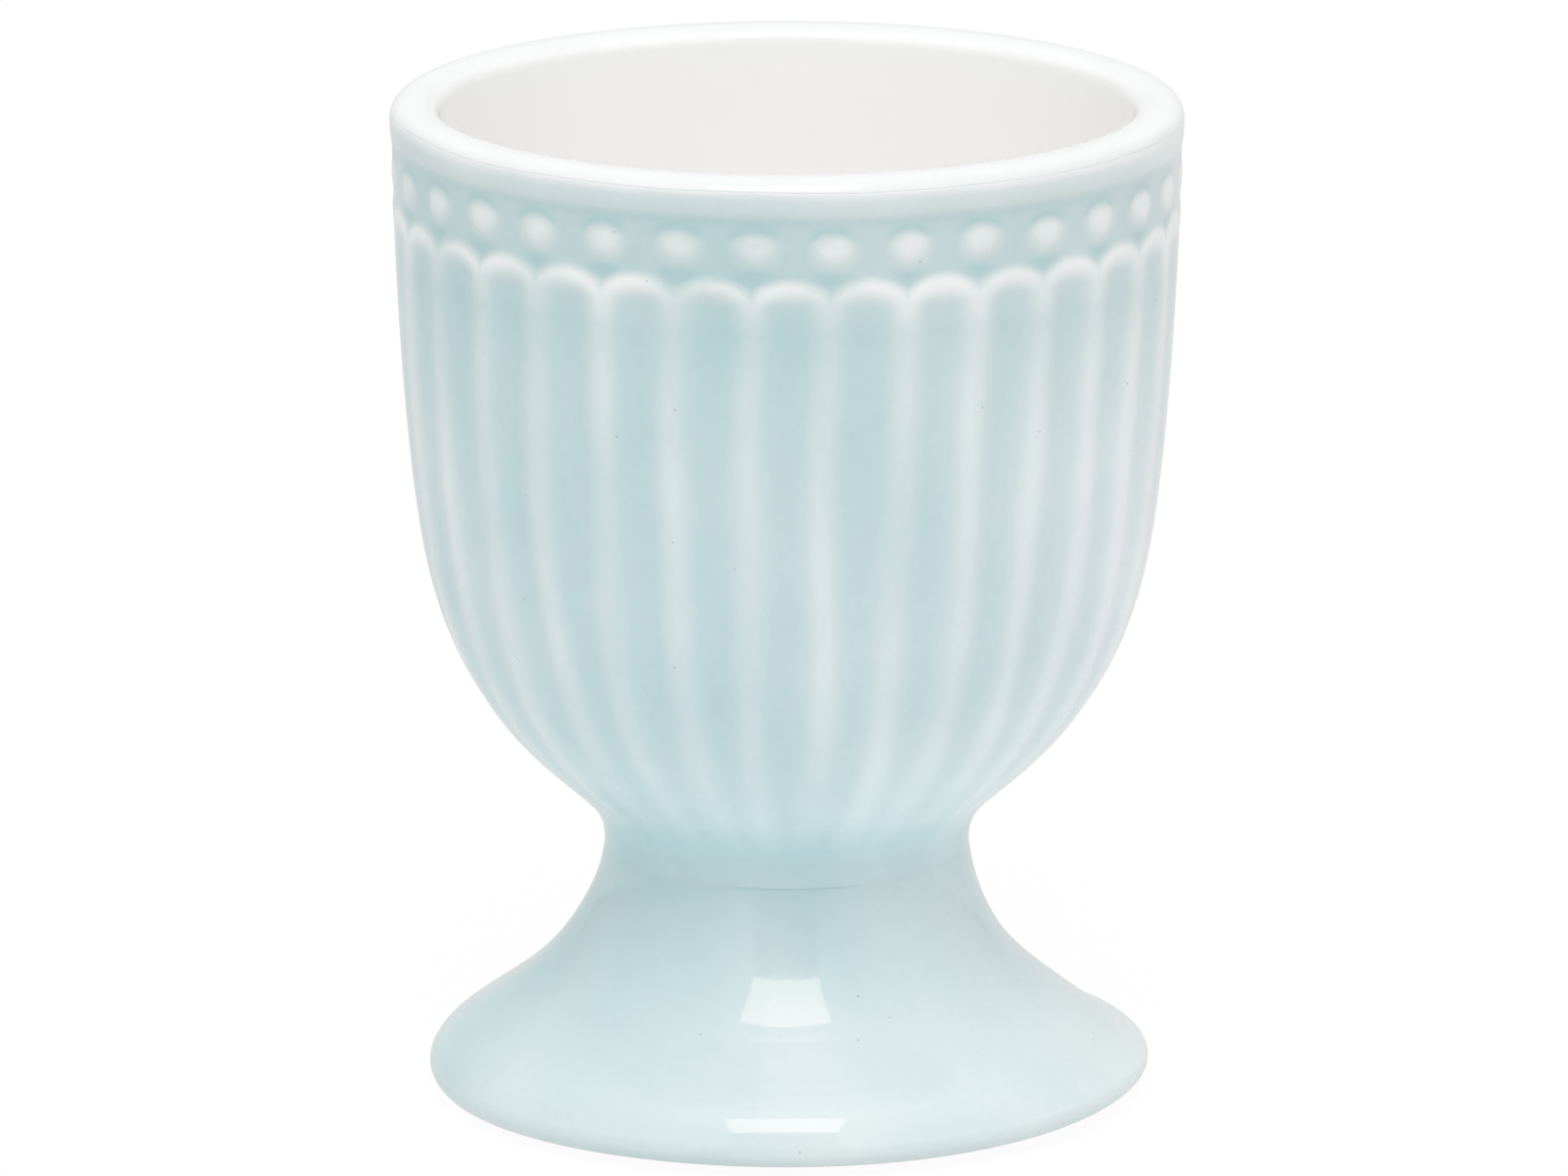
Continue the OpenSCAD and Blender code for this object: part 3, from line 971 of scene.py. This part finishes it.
# The lens and the sensor are in mm
CAMERA_LENS = 294.75
SENSOR_W = 36.0
# Light of the room at the height of the cup and overhead, and of the floor
ROOM_LIGHT_LOW = 0.515
ROOM_LIGHT_HIGH = 1.15
FLOOR_GLOW = 0.04
FLOOR_COLOUR = (0.9, 0.9, 0.9, 1)
# The floor as the camera sees it, as a share of pure white over its shadow
FLOOR_WHITENESS = 0.95
# The floor and the backdrop as the glaze reflects them, the backdrop's half
# width and blur, and the dark opening in front that the glaze reflects under
# the softbox and along the floor, in degrees, with soft edges
REFLECTED_FLOOR = 0.78
REFLECTED_BACKDROP = 0.8
BACKDROP_HALF_WIDTH = 38.0
BACKDROP_BLUR = 8.0
OPENING_HALF_WIDTH = 20.0
OPENING_TOP = 44.0
FLOOR_LINE_HALF_WIDTH = 46.0
FLOOR_LINE_TOP = 5.0
OPENING_DARKENS = 0.85
OPENING_SIDE_BLUR = 0.01
OPENING_TOP_BLUR = 0.015
# The softbox faces the cup from above the camera, with the dark opening under it
SOFTBOX_AWAY = 1.2
SOFTBOX_AZIMUTH = -1.7
SOFTBOX_ELEVATION = 57.4
SOFTBOX_SIZE = (0.63, 0.47)
SOFTBOX_COLOUR = (1.0, 0.98, 0.97)
SOFTBOX_RADIANCE = 4.12
# The same softbox as the glaze mirrors it, where its warm tube shows
MIRRORED_NEARER = 0.05
MIRRORED_COLOUR = (1.0, 0.66, 0.63)
MIRRORED_RADIANCE = 3.4


def make_floor():
    """White paper, nearly white to camera and reflections, with a faint shadow left."""
    half = FLOOR_SIZE / 2
    mesh = bpy.data.meshes.new("studio_floor")
    mesh.from_pydata([(-half, -half, 0), (half, -half, 0), (half, half, 0), (-half, half, 0)], [],
                     [(0, 1, 2, 3)])
    floor = bpy.data.objects.new("studio_floor", mesh)
    bpy.context.collection.objects.link(floor)
    nodes = Nodes(bpy.data.materials.new("studio_floor_paper"))
    paper = nodes.add("AddShader")
    nodes.put(nodes.add("BsdfDiffuse", Color=FLOOR_COLOUR).outputs[0], paper.inputs[0])
    nodes.put(nodes.add("Emission", Color=WHITE, Strength=FLOOR_GLOW).outputs[0], paper.inputs[1])
    path = nodes.add("LightPath")
    glossy = path.outputs["Is Glossy Ray"]
    seen = nodes.maths("MAXIMUM", path.outputs["Is Camera Ray"], glossy)
    seen = nodes.maths("MAXIMUM", seen, path.outputs["Is Transmission Ray"])
    whiteness = nodes.maths("SUBTRACT", 1.0, nodes.maths("MULTIPLY", glossy, 1 - REFLECTED_FLOOR))
    white = nodes.add("Emission", Color=WHITE, Strength=whiteness)
    shown = nodes.add("MixShader", Fac=nodes.maths("MULTIPLY", seen, FLOOR_WHITENESS))
    nodes.put(paper.outputs[0], shown.inputs[1])
    nodes.put(white.outputs[0], shown.inputs[2])
    mesh.materials.append(nodes.finish(shown.outputs[0]))


def make_world():
    """A white room, brighter overhead, with a white backdrop and a dark front opening.

    The eye sees it white, and only the glaze mirrors the backdrop and the opening.
    """
    world = bpy.data.worlds.new("studio")
    bpy.context.scene.world = world
    nodes = Nodes(world, "OutputWorld")
    maths = nodes.maths
    x, y, z = nodes.add("SeparateXYZ", Vector=nodes.add("TexCoord").outputs["Generated"]).outputs
    azimuth = maths("ARCTAN2", x, maths("MULTIPLY", y, -1.0))
    from_front = maths("ABSOLUTE", maths("SUBTRACT", azimuth, math.radians(SOFTBOX_AZIMUTH)))
    from_back = maths("ABSOLUTE", maths("ARCTAN2", x, y))

    def below(value, limit, blur):
        return nodes.add("MapRange", SMOOTH, Value=value, From_Min=limit + blur,
                         From_Max=limit - blur).outputs[0]

    def opening(half_width, top):
        """Mask of the front of the room up to a height, in degrees."""
        return maths("MULTIPLY", below(from_front, math.radians(half_width), OPENING_SIDE_BLUR),
                     below(z, math.sin(math.radians(top)), OPENING_TOP_BLUR))

    path = nodes.add("LightPath")
    glossy = path.outputs["Is Glossy Ray"]
    dark = maths("MAXIMUM", opening(OPENING_HALF_WIDTH, OPENING_TOP),
                 opening(FLOOR_LINE_HALF_WIDTH, FLOOR_LINE_TOP))
    dark = maths("MULTIPLY", maths("MULTIPLY", dark, glossy), OPENING_DARKENS)
    room = maths("MULTIPLY_ADD", maths("MAXIMUM", z, 0.0), ROOM_LIGHT_HIGH - ROOM_LIGHT_LOW,
                 ROOM_LIGHT_LOW)
    room = maths("MULTIPLY", room, maths("SUBTRACT", 1.0, dark))
    backdrop = maths("MULTIPLY", REFLECTED_BACKDROP, below(
        from_back, math.radians(BACKDROP_HALF_WIDTH), math.radians(BACKDROP_BLUR)))
    seen = maths("MAXIMUM", path.outputs["Is Camera Ray"], path.outputs["Is Transmission Ray"])
    seen = maths("MAXIMUM", seen, maths("MULTIPLY", glossy, backdrop))
    background = nodes.add("Background", Color=WHITE, Strength=maths("MAXIMUM", room, seen))
    nodes.finish(background.outputs[0])


def make_softbox(name, away, colour, radiance):
    """A rectangle of even light that faces the foot of the cup."""
    data = bpy.data.lights.new(name, "AREA")
    data.shape = "RECTANGLE"
    data.size, data.size_y = (length * away / SOFTBOX_AWAY for length in SOFTBOX_SIZE)
    data.color = colour
    data.energy = radiance * math.pi * data.size * data.size_y
    light = bpy.data.objects.new(name, data)
    rise, turn = math.radians(SOFTBOX_ELEVATION), math.radians(SOFTBOX_AZIMUTH)
    level = away * math.cos(rise)
    light.location = (level * math.sin(turn), -level * math.cos(turn), away * math.sin(rise))
    light.rotation_euler = (math.pi / 2 - rise, 0, turn)
    light.visible_camera = False
    bpy.context.collection.objects.link(light)
    return light


def make_lights():
    """One softbox, as two lamps: what it sheds and, just before it, what the glaze mirrors."""
    shed = make_softbox("softbox", SOFTBOX_AWAY, SOFTBOX_COLOUR, SOFTBOX_RADIANCE)
    shed.visible_glossy = False
    mirrored = make_softbox("softbox_mirrored", SOFTBOX_AWAY - MIRRORED_NEARER, MIRRORED_COLOUR,
                            MIRRORED_RADIANCE)
    mirrored.visible_diffuse = False


def make_camera():
    data = bpy.data.cameras.new("camera")
    data.lens = CAMERA_LENS
    data.sensor_width = SENSOR_W
    data.clip_start, data.clip_end = CAMERA_CLIP
    camera = bpy.data.objects.new("camera", data)
    turn = math.radians(CAMERA_AZIMUTH)
    camera.location = (CAMERA_AWAY * math.sin(turn), -CAMERA_AWAY * math.cos(turn), CAMERA_UP)
    camera.rotation_euler = (math.radians(90 - CAMERA_PITCH), 0, turn + math.radians(CAMERA_YAW))
    bpy.context.collection.objects.link(camera)
    bpy.context.scene.camera = camera


make_camera()
make_world()
make_lights()
make_floor()
dress(make_bowl(), blue_glaze("blue_glaze_coat", bowl_stops, bowl_tint_and_painted_light, cloudy=0.34),
      "blue_glaze", "bowl")
dress(make_beads(), blue_glaze("bead_glaze_coat", bowl_stops, bowl_tint_and_painted_light),
      "bead_glaze", "bead_row")
dress(make_lining(), white_glaze(), "white_glaze", "lining")
dress(make_slip(), blue_glaze("slip_glaze_coat", foot_stops, foot_tint_and_painted_light),
      "fired_slip", "slip_joint")
dress(make_foot(), blue_glaze("foot_glaze_coat", foot_stops, foot_tint_and_painted_light, cloud_scale=110,
                              roughness=0.05), "foot_glaze", "foot")
dress(make_ring(), bare_clay(), "bare_clay", "foot_ring")
bpy.context.scene.view_settings.view_transform = "Standard"
